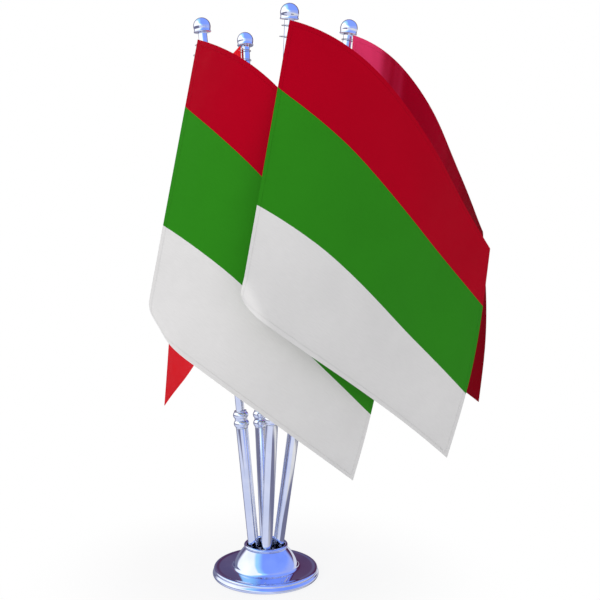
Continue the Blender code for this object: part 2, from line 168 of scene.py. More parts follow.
# Stage.
FLOOR_RADII = (0.0, 0.1, 0.2, 0.4, 0.8, 1.6, 4.0, 12.0)
FLOOR_CENTRE = 0.001  # radius of the innermost ring
FLOOR_SIDES = 64
FLOOR_DROP = 0.5 * MM
CAMERA_PLACE = (0.0, -0.7317, 0.2946)
CAMERA_PITCH, CAMERA_YAW, CAMERA_ROLL = -0.1022, 0.0341, 0.0104  # radians
CAMERA_LENS = 57.17  # millimetres, as is the sensor's width
CAMERA_SENSOR = 36.0
CAMERA_NEAREST = 0.02


def point(*values):
    """A point given in millimetres."""
    return Vector(values) * MM


# Each flag's cloth, as offsets from its upper hoist corner. "side" is that corner's direction from the
# rod, in degrees, and "drop" its depth below the finial. "top" and "bottom" hold two handles and the end
# of each long edge, and "foot" is the lower hoist corner. "curl" is 1 where that corner curls back.
# "passes" names the flag whose pole this one passes behind.
FLAGS = {
    "front": {
        "side": 272.0,
        "drop": 1.3 * MM,
        "top": (point(72, -12, -18), point(106, 28, -88), point(163, 88, -159)),
        "foot": point(-33, -18, -194),
        "bottom": (point(12, -8, -231), point(68, 58, -270), point(142, 130, -342)),
        "curl": 1.0,
    },
    "left": {
        "side": 228.0,
        "drop": 6.0 * MM,
        "top": (point(79, -114, -35), point(99, -44, -102), point(151, -2, -172)),
        "foot": point(-37, -34, -213),
        "bottom": (point(18, -72, -248), point(63, -38, -286), point(124, 25, -346)),
        "curl": 1.0,
        "passes": "front",
    },
    "back": {
        "side": 225.0,
        "drop": 0.6 * MM,
        "top": (point(-36, 61, -25), point(-60, 131, -74), point(-78, 191, -137)),
        "foot": point(9, -25, -197),
        "bottom": (point(-19, 71, -237), point(-48, 141, -285), point(-85, 211, -340)),
        "curl": 0.0,
    },
    "right": {
        "side": 310.0,
        "drop": 1.2 * MM,
        "top": (point(62, 32, -12), point(91, 97, -80), point(138, 157, -150)),
        "foot": point(-10, 0, -193),
        "bottom": (point(30, 52, -227), point(84, 132, -268), point(148, 202, -320)),
        "curl": 0.0,
    },
}


# ---------------------------------------------------------------- node helpers


def node(tree, kind, settings=None, **sockets):
    """A shader node. A socket's value is a constant or the output that feeds it."""
    made = tree.nodes.new("ShaderNode" + kind)
    for key, value in (settings or {}).items():
        setattr(made, key, value)
    for key, value in sockets.items():
        feed(tree, made.inputs[key.replace("_", " ")], value)
    return made


def feed(tree, socket, value):
    """Links an output to a socket, or sets the socket to a constant."""
    if isinstance(value, bpy.types.NodeSocket):
        tree.links.new(value, socket)
    else:
        socket.default_value = value


def sums(tree, operation, *values):
    """One step of arithmetic."""
    made = node(tree, "Math", {"operation": operation})
    for socket, value in zip(made.inputs, values):
        feed(tree, socket, value)
    return made.outputs[0]


def product(tree, first, *others):
    """All the values multiplied together."""
    for other in others:
        first = sums(tree, "MULTIPLY", first, other)
    return first


def minus(tree, first, second):
    """The first value less the second."""
    return sums(tree, "SUBTRACT", first, second)


def smooth_step(tree, value, low, high, to_low=0.0, to_high=1.0):
    """Eases from to_low to to_high while the value goes from low to high."""
    made = node(tree, "MapRange", {"interpolation_type": "SMOOTHSTEP"}, Value=value)
    for name, number in (("From Min", low), ("From Max", high), ("To Min", to_low), ("To Max", to_high)):
        made.inputs[name].default_value = number
    return made.outputs[0]


def mix(tree, share, first, second, blend="MIX"):
    """A mix of two colours. The Mix node takes colours in sockets 6 and 7, and gives one in 2."""
    made = node(tree, "Mix", {"data_type": "RGBA", "blend_type": blend})
    feed(tree, made.inputs[0], share)
    feed(tree, made.inputs[6], first)
    feed(tree, made.inputs[7], second)
    return made.outputs[2]


def noise(tree, vector, scale, detail=3.0):
    """Noise from 0 to 1, mostly near a half."""
    made = node(tree, "TexNoise", Vector=vector, Scale=scale, Detail=detail)
    return made.outputs["Fac"]


def bump(tree, height, distance, strength=1.0, normal=None):
    """A normal tilted by a height, on top of another normal if one is given."""
    made = node(tree, "Bump", Height=height, Distance=distance, Strength=strength)
    if normal is not None:
        feed(tree, made.inputs["Normal"], normal)
    return made.outputs["Normal"]


def start_material(name, **sockets):
    """A new material, its tree, its shader and its object coordinates."""
    made = bpy.data.materials.new(name)
    made.use_nodes = True
    tree = made.node_tree
    shader = tree.nodes["Principled BSDF"]
    for key, value in sockets.items():
        feed(tree, shader.inputs[key.replace("_", " ")], value)
    place = node(tree, "TexCoord").outputs["Object"]
    return made, tree, shader, place


def colour_and_roughness(tree, shader, share, colours, roughness):
    """Feeds a colour and a roughness that both follow a noise, each between the two values given."""
    feed(tree, shader.inputs["Base Color"], mix(tree, share, *colours))
    feed(tree, shader.inputs["Roughness"], smooth_step(tree, share, 0.3, 0.7, *roughness))


# ------------------------------------------------------------------- materials


def chrome(name, dull, bright):
    """Polished plating with faint polishing marks and a little unevenness."""
    made, tree, shader, place = start_material(name, Metallic=1.0)
    slow = smooth_step(tree, noise(tree, place, 45.0), 0.35, 0.65)
    feed(tree, shader.inputs["Base Color"], mix(tree, slow, dull, bright))
    haze = smooth_step(tree, noise(tree, place, 160.0), 0.4, 0.75, 0.035, 0.085)
    feed(tree, shader.inputs["Roughness"], haze)
    stretch = node(tree, "Mapping", Vector=place, Scale=(900.0, 900.0, 60.0)).outputs[0]
    feed(tree, shader.inputs["Normal"], bump(tree, noise(tree, stretch, 1.0), 0.000004, 0.2))
    return made


def moulded(name, colour, grain, roughness):
    """Rubber or plastic with a fine moulded grain."""
    made, tree, shader, place = start_material(name)
    speck = noise(tree, place, grain, 6.0)
    darker = (*(channel * 0.6 for channel in colour[:3]), 1.0)
    spread = (roughness - 0.1, roughness + 0.1)
    colour_and_roughness(tree, shader, speck, (darker, colour), spread)
    feed(tree, shader.inputs["Normal"], bump(tree, speck, 0.0001, 0.5))
    return made


def raw_iron(name):
    """Cast plate, pitted, with patches of rust."""
    made, tree, shader, place = start_material(name, Metallic=0.8)
    pits = noise(tree, place, 420.0, 8.0)
    patches = noise(tree, place, 70.0, 5.0)
    iron = mix(tree, pits, (0.05, 0.05, 0.055, 1.0), (0.17, 0.17, 0.18, 1.0))
    rust = smooth_step(tree, patches, 0.58, 0.72, 0.0, 0.6)
    feed(tree, shader.inputs["Base Color"], mix(tree, rust, iron, (0.16, 0.06, 0.025, 1.0)))
    feed(tree, shader.inputs["Roughness"], smooth_step(tree, pits, 0.3, 0.7, 0.45, 0.8))
    feed(tree, shader.inputs["Normal"], bump(tree, pits, 0.0003, 0.7))
    return made


def brushed(name):
    """Zinc-plated steel, turned marks round its axis."""
    made, tree, shader, place = start_material(name, Metallic=1.0)
    stretch = node(tree, "Mapping", Vector=place, Scale=(300.0, 300.0, 5000.0)).outputs[0]
    marks = noise(tree, stretch, 1.0, 5.0)
    zinc = ((0.38, 0.38, 0.36, 1.0), (0.62, 0.62, 0.6, 1.0))
    colour_and_roughness(tree, shader, marks, zinc, (0.22, 0.42))
    feed(tree, shader.inputs["Normal"], bump(tree, marks, 0.00004, 0.4))
    return made


def cord_material(name):
    """Pale grey cord, with a fibre and a slight sheen."""
    made, tree, shader, place = start_material(name, Roughness=0.75, Sheen_Weight=0.3)
    fibre = noise(tree, place, 2600.0, 4.0)
    thread = mix(tree, fibre, (0.3, 0.32, 0.38, 1.0), (0.55, 0.57, 0.64, 1.0))
    feed(tree, shader.inputs["Base Color"], thread)
    feed(tree, shader.inputs["Normal"], bump(tree, fibre, 0.00006, 0.6))
    return made


def cloth_coordinates(tree):
    """Shares of the flat cloth, from 0 to 1 along the fly and down the hoist."""
    parts = node(tree, "SeparateXYZ", Vector=node(tree, "UVMap").outputs[0])
    return parts.outputs[0], parts.outputs[1]


def from_edge(tree, share, length):
    """The distance in metres to the nearer of two opposite edges of the cloth."""
    return product(tree, sums(tree, "MINIMUM", share, minus(tree, 1.0, share)), length)


def stitching(tree, across, down):
    """Two masks: the threads of the lockstitch that holds the hems, and the hems."""
    side = from_edge(tree, across, FLY)
    end = from_edge(tree, down, HOIST)
    edge = sums(tree, "MINIMUM", side, end)
    off_line = sums(tree, "ABSOLUTE", minus(tree, edge, STITCH_LINE))
    line = smooth_step(tree, off_line, 0.16 * MM, 0.3 * MM, 1.0, 0.0)
    follows_hoist = sums(tree, "LESS_THAN", side, end)
    down_hoist = product(tree, down, HOIST, follows_hoist)
    along_fly = product(tree, across, FLY, minus(tree, 1.0, follows_hoist))
    along = sums(tree, "ADD", down_hoist, along_fly)
    phase = sums(tree, "SINE", product(tree, along, math.tau / STITCH_PITCH))
    dash = smooth_step(tree, phase, -0.75, -0.45)
    hem = smooth_step(tree, edge, HEM - 0.3 * MM, HEM + 0.1 * MM, 1.0, 0.0)
    return product(tree, line, dash), hem


def weave_height(tree, across, down):
    """Warp over weft, as the product of two waves."""
    turn = math.tau / THREAD_PITCH
    warp = sums(tree, "SINE", product(tree, across, FLY, turn))
    weft = sums(tree, "SINE", product(tree, down, HOIST, turn))
    return product(tree, warp, weft)


def satin(name, cloth_colour, sheen, sheen_tint, specular, roughness):
    """Woven satin. cloth_colour(tree, across, down) gives the cloth's colour, which for the plain red and
    the crimson holds painted shade and a painted highlight.
    """
    made, tree, shader, place = start_material(
        name,
        Sheen_Weight=sheen,
        Sheen_Roughness=0.35,
        Sheen_Tint=sheen_tint,
        Specular_IOR_Level=specular,
    )
    across, down = cloth_coordinates(tree)
    # The dye is a little cloudy, and slubs run along the fly.
    cloudy = smooth_step(tree, noise(tree, place, 26.0, 5.0), 0.3, 0.7, 0.975, 1.015)
    stretched = node(
        tree,
        "CombineXYZ",
        X=product(tree, across, 30.0),
        Y=product(tree, down, 420.0),
    )
    slub_noise = noise(tree, stretched.outputs[0], 1.0, 2.0)
    slub = smooth_step(tree, slub_noise, 0.3, 0.75, 1.01, 0.965)
    shade = product(tree, cloudy, slub)
    grey = node(tree, "CombineColor", Red=shade, Green=shade, Blue=shade).outputs[0]
    # The cloth's colour, with the reds' painted light, times the random cloudiness and slubs.
    cloth_and_painted_light = mix(tree, 1.0, cloth_colour(tree, across, down), grey, "MULTIPLY")
    thread, hem = stitching(tree, across, down)
    seamed = sums(tree, "ADD", product(tree, hem, 0.01), product(tree, thread, 0.05))
    feed(tree, shader.inputs["Base Color"], mix(tree, seamed, cloth_and_painted_light, BLACK))
    worn = smooth_step(
        tree, noise(tree, place, 90.0), 0.3, 0.7, roughness - 0.05, roughness + 0.06
    )
    feed(tree, shader.inputs["Roughness"], worn)
    # The weave, then soft creases, then the stitches.
    woven = bump(tree, weave_height(tree, across, down), 0.00003, 0.35)
    creased = bump(tree, noise(tree, place, 38.0, 2.0), 0.0006, 0.3, woven)
    feed(tree, shader.inputs["Normal"], bump(tree, thread, 0.00022, 0.8, creased))
    return made


def striped_colour(tree, across, down):
    """Red over green over white. The two lines between them swell and dip with the drape along the fly."""
    level = minus(tree, down, smooth_step(tree, across, 0.25, 0.75, -0.02, 0.005))
    turn = product(tree, sums(tree, "POWER", across, 0.75), math.pi)
    swell = product(tree, sums(tree, "SINE", turn), 0.056)
    red_end, green_end = STRIPES
    upper_level = minus(tree, level, swell)
    to_green = smooth_step(tree, upper_level, red_end - STRIPE_EDGE, red_end + STRIPE_EDGE)
    to_white = smooth_step(tree, level, green_end - STRIPE_EDGE, green_end + STRIPE_EDGE)
    upper = mix(tree, to_green, (0.42, 0.0, 0.012, 1.0), (0.026, 0.23, 0.01, 1.0))
    return mix(tree, to_white, upper, (0.75, 0.74, 0.74, 1.0))


def plain_red(tree, across, down):
    """One red, made a little darker towards the fly by painted shade, and the same all the way down."""
    # Darker towards the fly: painted shade.
    painted_shade_to_fly = smooth_step(tree, across, 0.0, 1.0)
    return mix(tree, painted_shade_to_fly, (0.92, 0.006, 0.016, 1.0), (0.74, 0.004, 0.011, 1.0))


def red_with_painted_sheen(tree, across, down):
    """A crimson satin with painted light: a rose painted highlight near the hoist, broken by painted fold
    shading, and painted shade deepening to dark crimson towards the fly.
    """
    stretched = node(
        tree,
        "CombineXYZ",
        X=product(tree, across, 9.0),
        Y=product(tree, down, 1.2),
    )
    # Noise bands along the fly: painted fold shading.
    painted_fold_bands = noise(tree, stretched.outputs[0], 1.0, 2.0)
    level = sums(tree, "ADD", across, product(tree, minus(tree, painted_fold_bands, 0.5), 0.35))
    # The rose near the hoist is a painted highlight; the dark crimson towards the fly is painted shade.
    painted_highlight_at_hoist = smooth_step(tree, level, 0.05, 0.27)
    rose = mix(tree, painted_highlight_at_hoist, (1.0, 0.055, 0.19, 1.0), (0.4, 0.0, 0.016, 1.0))
    return mix(tree, smooth_step(tree, level, 0.5, 0.9), rose, (0.22, 0.0, 0.006, 1.0))


# --------------------------------------------------------------------- shapes


def arc(radius, height, section, start, end, steps):
    """Points (radius, height) on a circle. Its angles are in degrees from outwards."""
    angles = [math.radians(start + (end - start) * i / steps) for i in range(steps + 1)]
    return [(radius + section * math.cos(a), height + section * math.sin(a)) for a in angles]


def eased(profile, radius, steps=4):
    """A closed profile with every corner rounded, by at most a third of its shorter side."""
    corners = [Vector(spot) for spot in profile]
    found = []
    for i, corner in enumerate(corners):
        before = corners[i - 1] - corner
        after = corners[(i + 1) % len(corners)] - corner
        reach = min(radius, before.length / 3, after.length / 3)
        start = corner + before.normalized() * reach
        end = corner + after.normalized() * reach
        for step in range(steps + 1):
            share = step / steps
            spot = start.lerp(corner, share).lerp(corner.lerp(end, share), share)
            found.append((spot.x, spot.y))
    return found


def lathe(name, profile, steps, look, closed=True):
    """A turned object from points (radius, height). An open profile begins and ends on the axis."""
    form = bmesh.new()
    rings = []
    for radius, height in profile:
        if radius < ON_AXIS:
            rings.append([form.verts.new((0.0, 0.0, height))] * steps)
            continue
        turns = [math.tau * k / steps for k in range(steps)]
        rings.append([form.verts.new(ring_at(radius, turn, height)) for turn in turns])
    pairs = list(zip(rings, rings[1:]))
    if closed:
        pairs.append((rings[-1], rings[0]))
    for one, two in pairs:
        for k in range(steps):
            corners = (one[k], one[(k + 1) % steps], two[(k + 1) % steps], two[k])
            corners = list(dict.fromkeys(corners))
            if len(corners) > 2:
                form.faces.new(corners)
    return finish_mesh(name, form, look)


def ring_at(radius, turn, height=0.0):
    """A point on a circle round the z axis."""
    return Vector((radius * math.cos(turn), radius * math.sin(turn), height))


def finish_mesh(name, form, look, sharp=SHARP_EDGE):
    """Makes the mesh, smooth but for edges sharper than the angle, in degrees."""
    bmesh.ops.recalc_face_normals(form, faces=form.faces)
    mesh = bpy.data.meshes.new(name)
    form.to_mesh(mesh)
    form.free()
    mesh.shade_smooth()
    mesh.set_sharp_from_angle(angle=math.radians(sharp))
    mesh.materials.append(look)
    return mesh


def show(name, mesh, body, stands_for, matrix=None):
    """Puts a piece in the scene, on its body, in place of a CAD node."""
    made = bpy.data.objects.new(name, mesh)
    bpy.context.collection.objects.link(made)
    if matrix is not None:
        made.matrix_world = matrix
    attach(made, body)
    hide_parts(stands_for)
    return made


def base_profile():
    """The base shell in section: rim, flange, dome and cup, then back down inside."""
    lower_centre = (FLANGE_RADIUS - LOWER_RING, RIM_FOOT + LOWER_RING)
    lower = arc(*lower_centre, LOWER_RING, *LOWER_RING_ARC)
    upper_radius = FLANGE_RADIUS - UPPER_RING_INSET - UPPER_RING
    upper = arc(upper_radius, FLANGE_TOP - UPPER_RING, UPPER_RING, *UPPER_RING_ARC)
    dish_edge = upper_radius - DISH_INSET
    dish_start = dish_edge - DISH_SLOPE
    dish_end = DOME_FOOT_RADIUS + FILLET_WIDTH
    dish_floor = FLANGE_TOP - DISH_DEPTH
    dish = [(dish_edge, FLANGE_TOP), (dish_start, dish_floor)]
    for i in range(1, DISH_STEPS + 1):
        share = i / DISH_STEPS
        radius = dish_start + (dish_end - dish_start) * share
        dish.append((radius, dish_floor + DISH_RISE * share**2))
    neck = CUP_BORE + 2 * CUP_LIP - CUP_NECK
    foot = Vector((DOME_FOOT_RADIUS, DOME_FOOT_Z))
    rise = Vector((neck, DOME_TOP_Z)) - foot
    outward = Vector((rise.y, -rise.x)).normalized()
    dome = []
    for i in range(DOME_FIRST_STEP, DOME_STEPS + 1):
        share = i / DOME_STEPS
        dome.append(foot + rise * share + outward * DOME_BULGE * math.sin(math.pi * share))
    start = Vector(dish[-1])
    knee = Vector((DOME_FOOT_RADIUS - FILLET_UNDERCUT, start.y))
    fillet = []
    for i in range(1, FILLET_STEPS):
        share = i / FILLET_STEPS
        fillet.append(start.lerp(knee, share).lerp(knee.lerp(dome[0], share), share))
    shell = [tuple(spot) for spot in fillet + dome]
    lip = arc(CUP_BORE + CUP_LIP, CUP_TOP - CUP_LIP, CUP_LIP, *CUP_LIP_ARC)
    lowest = DOME_FOOT_Z + SHELL_INNER_FOOT
    inside = [spot - outward * SHELL_WALL for spot in dome if spot.y > lowest]
    throat = [(CUP_BORE, CUP_TOP - 2 * CUP_LIP), (CUP_BORE, inside[-1].y)]
    inner = [tuple(spot) for spot in reversed(inside)]
    under = FLANGE_TOP - SHELL_WALL
    rim_inner = FLANGE_RADIUS - RIM_WIDTH
    bottom = [(inside[0].x, under), (rim_inner, under), (rim_inner, RIM_FOOT)]
    return lower + upper + dish + shell + lip + throat + inner + bottom


def tube_profile(extra):
    """A lower tube: a tapered outside, a neck for the ferrule, and a shoulder the rod stands on."""
    stop = ROD_BOTTOM - GAP + extra
    seat = FERRULE_BOTTOM - GAP + extra
    outline = [
        (TUBE_PASSAGE, TUBE_BOTTOM),
        (TUBE_FOOT_RADIUS, TUBE_BOTTOM),
        (TUBE_FOOT_RADIUS, 0.0),
        (TUBE_TOP_RADIUS, seat),
        (TUBE_NECK_RADIUS, seat),
        (TUBE_NECK_RADIUS, TUBE_TOP + extra),
        (ROD_CLEARANCE, TUBE_TOP + extra),
        (ROD_CLEARANCE, stop),
        (TUBE_PASSAGE, stop),
    ]
    return eased(outline, TUBE_EASE)


def ferrule_profile():
    """A ferrule with two beads, over the tube's neck and round the rod."""
    bead = FERRULE_HEIGHT / 4
    centre = FERRULE_RADIUS - bead
    spread = math.degrees(math.acos((FERRULE_WAIST - centre) / bead))
    outline = [(FERRULE_SEAT, FERRULE_BOTTOM), (FERRULE_WAIST, FERRULE_BOTTOM)]
    for middle in (FERRULE_BOTTOM + bead, FERRULE_TOP - bead):
        outline += arc(centre, middle, bead, -spread, spread, BEAD_STEPS)
    outline += [(FERRULE_WAIST, FERRULE_TOP), (ROD_CLEARANCE, FERRULE_TOP)]
    outline += [(ROD_CLEARANCE, TUBE_TOP + GAP), (FERRULE_SEAT, TUBE_TOP + GAP)]
    return eased(outline, FERRULE_EASE, 3)


def rod_profile(extra):
    """An upper rod, a plain pipe."""
    bottom = ROD_BOTTOM + extra
    outline = [
        (ROD_BORE, bottom),
        (ROD_RADIUS, bottom),
        (ROD_RADIUS, ROD_TOP),
        (ROD_BORE, ROD_TOP),
    ]
    return eased(outline, ROD_EASE)


def finial_profile():
    """A finial from the foot of its stem, inside the rod, out over the brim and up the ball."""
    stem = ROD_BORE - GAP
    cap = ROD_TOP + GAP
    stem_foot = cap - FINIAL_STEM
    top = FINIAL_BOTTOM + FINIAL_HEIGHT
    brim_top = FINIAL_BOTTOM + FINIAL_BRIM_HEIGHT
    inner = [
        (0.0, stem_foot),
        (stem - FINIAL_STEM_BEVEL, stem_foot),
        (stem, stem_foot + FINIAL_STEM_BEVEL),
        (stem, cap),
        (ROD_CLEARANCE, cap),
        (ROD_CLEARANCE, FINIAL_BOTTOM),
    ]
    edge = FINIAL_BRIM_HEIGHT / 3
    brim = arc(FINIAL_BRIM - edge, FINIAL_BOTTOM + edge, edge, *FINIAL_BRIM_ARC)
    groove = [
        (FINIAL_WAIST + FINIAL_GROOVE_SLOPE, brim_top - FINIAL_GROOVE_SLOPE),
        (FINIAL_WAIST, brim_top + FINIAL_GROOVE),
    ]
    ball = arc(0.0, top - FINIAL_BALL, FINIAL_BALL, *FINIAL_BALL_ARC)
    return inner + brim + groove + ball[:-1] + [(0.0, top)]


def pole_frame(pole):
    """The pole's own frame: its origin at the cup's top and z up along the pole."""
    stand = math.radians(POLE_STANDS[pole])
    heading = math.radians(POLE_HEADINGS[pole])
    lean = math.radians(POLE_LEANS[pole])
    foot = Vector((POLE_CIRCLE * math.cos(stand), POLE_CIRCLE * math.sin(stand), CUP_TOP))
    return Matrix.Translation(foot) @ Matrix.Rotation(heading, 4, "Z") @ Matrix.Rotation(lean, 4, "Y")


# ----------------------------------------------------------------------- flags


def bezier(ends, handles, share):
    """A point on a cubic curve."""
    rest = 1 - share
    return (
        ends[0] * rest**3
        + handles[0] * 3 * rest**2 * share
        + handles[1] * 3 * rest * share**2
        + ends[1] * share**3
    )


def flag_corner(pole):
    """Where the flag's upper hoist corner is."""
    flag = FLAGS[pole]
    axis = pole_frame(pole) @ Vector((0, 0, FINIAL_BOTTOM - flag["drop"]))
    side = math.radians(flag["side"])
    return axis + Vector((math.cos(side), math.sin(side), 0)) * HOIST_OFFSET


def flag_spot(pole, across, down):
    """A point of the cloth before it curls. Both shares may go a little past 1."""
    flag = FLAGS[pole]
    corner = flag_corner(pole)
    top = bezier((Vector((0, 0, 0)), flag["top"][2]), flag["top"], across)
    bottom = bezier((flag["foot"], flag["bottom"][2]), flag["bottom"], across)
    spot = top.lerp(bottom, down)
    spot.x += FLY_BOW * math.sin(math.pi * down) * across
    if "passes" in flag:
        passed = flag_corner(flag["passes"])
        spot.x *= (passed.x - corner.x) / PASSING_WIDTH
        spot.y *= (corner.y - passed.y) / PASSING_DEPTH
    return corner + spot


def curled(pole, across, down):
    """The same point, rolled back round a cylinder where it is near the lower hoist corner."""
    spot = flag_spot(pole, across, down)
    flag = FLAGS[pole]
    hoist = flag["foot"].length
    length = (flag["bottom"][2] - flag["foot"]).length
    depth = across * length * math.cos(CURL_TURN) + (1 - down) * hoist * math.sin(CURL_TURN)
    past = (CURL_REACH - depth) * flag["curl"]
    if past <= 0:
        return spot
    along = (flag_spot(pole, across + CURL_PROBE, down) - spot).normalized()
    upward = (spot - flag_spot(pole, across, down + CURL_PROBE)).normalized()
    inward = (along * math.cos(CURL_TURN) + upward * math.sin(CURL_TURN)).normalized()
    back = upward.cross(along).normalized()
    if back.y < 0:
        back.negate()
    turn = past / CURL_RADIUS
    inward_by = past - CURL_RADIUS * math.sin(turn)
    return spot + inward * inward_by + back * CURL_RADIUS * (1 - math.cos(turn))


def shares(count, length):
    """Grid lines from 0 to 1, with extra ones where the hem's layers end."""
    inner = [HEM / length, (HEM + HEM_STEP) / length]
    start = inner[1]
    even = [start + (1 - 2 * start) * i / count for i in range(1, count)]
    low = [0.0, inner[0] / 2] + inner
    return low + even + [1 - share for share in reversed(low)]


def hem_thickness(across, down):
    """The cloth's thickness, which is greater over the hem."""
    edge = min(min(across, 1 - across) * FLY, min(down, 1 - down) * HOIST)
    share = min(max((HEM + HEM_STEP - edge) / HEM_STEP, 0.0), 1.0)
    return CLOTH * (1 + (HEM_LAYERS - 1) * share)


def ripple(pole, across, down):
    """Slow waves in the cloth that die away at the hoist."""
    offset = list(FLAGS).index(pole)
    short = math.sin(across * 17.0 + down * 3.0 + offset)
    long = math.sin(across * 9.0 - down * 7.0 + 2.0 * offset)
    return RIPPLE * (short + 0.6 * long) * across


def along_and_down(grid, row, column):
    """How the grid of points runs along the fly and down the hoist at one of them."""
    last_row, last_column = len(grid) - 1, len(grid[0]) - 1
    along = grid[row][min(column + 1, last_column)] - grid[row][max(column - 1, 0)]
    downward = grid[min(row + 1, last_row)][column] - grid[max(row - 1, 0)][column]
    return along, downward


def border_of(width, height):
    """The grid's border as (row, column), once round."""
    top = [(0, c) for c in range(width)]
    fly = [(r, width - 1) for r in range(1, height)]
    bottom = [(height - 1, c) for c in range(width - 2, -1, -1)]
    hoist = [(r, 0) for r in range(height - 2, 0, -1)]
    return top + fly + bottom + hoist


def flag_mesh(pole, look):
    """A closed sheet with hems. Its UV map runs along the fly and down the hoist."""
    form = bmesh.new()
    uv_layer = form.loops.layers.uv.new("UVMap")
    columns = shares(FLAG_COLUMNS, FLY)
    rows = shares(FLAG_ROWS, HOIST)
    middle = [[curled(pole, across, down) for across in columns] for down in rows]
    width, height = len(columns), len(rows)
    sides = ([], [])
    for r in range(height):
        lines = ([], [])
        for c in range(width):
            along, downward = along_and_down(middle, r, c)
            normal = along.cross(downward).normalized()
            half = hem_thickness(columns[c], rows[r]) / 2
            shift = ripple(pole, columns[c], rows[r])
            lines[0].append(form.verts.new(middle[r][c] + normal * (shift + half)))
            lines[1].append(form.verts.new(middle[r][c] + normal * (shift - half)))
        sides[0].append(lines[0])
        sides[1].append(lines[1])
    place = {}
    for side in sides:
        for r in range(height):
            for c in range(width):
                place[side[r][c]] = (columns[c], rows[r])
    for side in sides:
        for r in range(height - 1):
            for c in range(width - 1):
                form.faces.new((side[r][c], side[r][c + 1], side[r + 1][c + 1], side[r + 1][c]))
    border = border_of(width, height)
    for (r, c), (r2, c2) in zip(border, border[1:] + border[:1]):
        form.faces.new((sides[0][r][c], sides[0][r2][c2], sides[1][r2][c2], sides[1][r][c]))
    for face in form.faces:
        for loop in face.loops:
            loop[uv_layer].uv = place[loop.vert]
    return finish_mesh("flag_" + pole, form, look, SHARP_CLOTH_EDGE)


def loop_mesh(radius, look):
    """A ring of three-strand twisted cord."""
    form = bmesh.new()
    up = Vector((0.0, 0.0, 1.0))
    for strand in range(LOOP_STRANDS):
        rings = []
        for i in range(LOOP_STEPS):
            turn = math.tau * i / LOOP_STEPS
            twist = turn * LOOP_TWISTS + math.tau * strand / LOOP_STRANDS
            outward = ring_at(1.0, turn)
            centre = outward * (radius + LOOP_LAY * math.cos(twist)) + up * LOOP_LAY * math.sin(twist)
            ring = []
            for k in range(LOOP_SIDES):
                angle = math.tau * k / LOOP_SIDES
                away = outward * math.cos(angle) + up * math.sin(angle)
                ring.append(form.verts.new(centre + away * LOOP_STRAND))
            rings.append(ring)
        for one, two in zip(rings, rings[1:] + rings[:1]):
            for k in range(LOOP_SIDES):
                after = (k + 1) % LOOP_SIDES
                form.faces.new((one[k], two[k], two[after], one[after]))
    return finish_mesh("flag_loop", form, look, SHARP_CLOTH_EDGE)


def show_loop(pole, number, look):
    """Shows one loop, round the rod and as far as the hoist."""
    to_pole = pole_frame(pole).inverted()
    upper = to_pole @ flag_spot(pole, 0, 0)
    lower = to_pole @ flag_spot(pole, 0, 1)
    drop = LOOP_DROPS[number]
    hoist = upper.lerp(lower, drop / (upper.z - lower.z))
    far = ROD_CLEARANCE + 2 * LOOP_STRAND
    near = math.hypot(hoist.x, hoist.y) - LOOP_BITE
    place = hoist.xy.normalized().to_3d() * (near - far) / 2
    place.z = upper.z - drop
    node_name = f"flag_loop_{pole}_{number + 1}"
    matrix = pole_frame(pole) @ Matrix.Translation(place)
    mesh = loop_mesh((far + near) / 2, look)
    return show("cord_" + node_name, mesh, "flag_" + pole, node_name, matrix)


# ----------------------------------------------------------------------- stage


def either(tree, share, first, second):
    """A mix of two shaders."""
    made = node(tree, "MixShader", Fac=share)
    feed(tree, made.inputs[1], first.outputs[0])
    feed(tree, made.inputs[2], second.outputs[0])
    return made


def stage_floor():
    """A pale sheet that runs out evenly to the background."""
    form = bmesh.new()
    turns = [math.tau * k / FLOOR_SIDES for k in range(FLOOR_SIDES)]
    rings = []
    for radius in FLOOR_RADII:
        reach = max(radius, FLOOR_CENTRE)
        rings.append([form.verts.new(ring_at(reach, turn)) for turn in turns])
    for one, two in zip(rings, rings[1:]):
        for k in range(FLOOR_SIDES):
            after = (k + 1) % FLOOR_SIDES
            form.faces.new((one[k], one[after], two[after], two[k]))
    form.faces.new(rings[0])
    look, tree, shader, place = start_material("floor", Roughness=0.7)
    speck = noise(tree, place, 30.0)
    pale = mix(tree, speck, (0.86, 0.86, 0.87, 1.0), (0.9, 0.9, 0.9, 1.0))
    feed(tree, shader.inputs["Base Color"], pale)
    far = node(tree, "VectorMath", {"operation": "LENGTH"})
    feed(tree, far.inputs[0], place)
    glow = node(tree, "Emission", Color=WHITE, Strength=1.0)
    glows = smooth_step(tree, far.outputs["Value"], 0.05, 0.2, 0.86, 1.0)
    blend = either(tree, glows, shader, glow)
    feed(tree, tree.nodes["Material Output"].inputs["Surface"], blend.outputs[0])
    floor = bpy.data.objects.new("floor", finish_mesh("floor", form, look))
    floor.location.z = -FLOOR_DROP
    floor.visible_glossy = False
    bpy.context.collection.objects.link(floor)


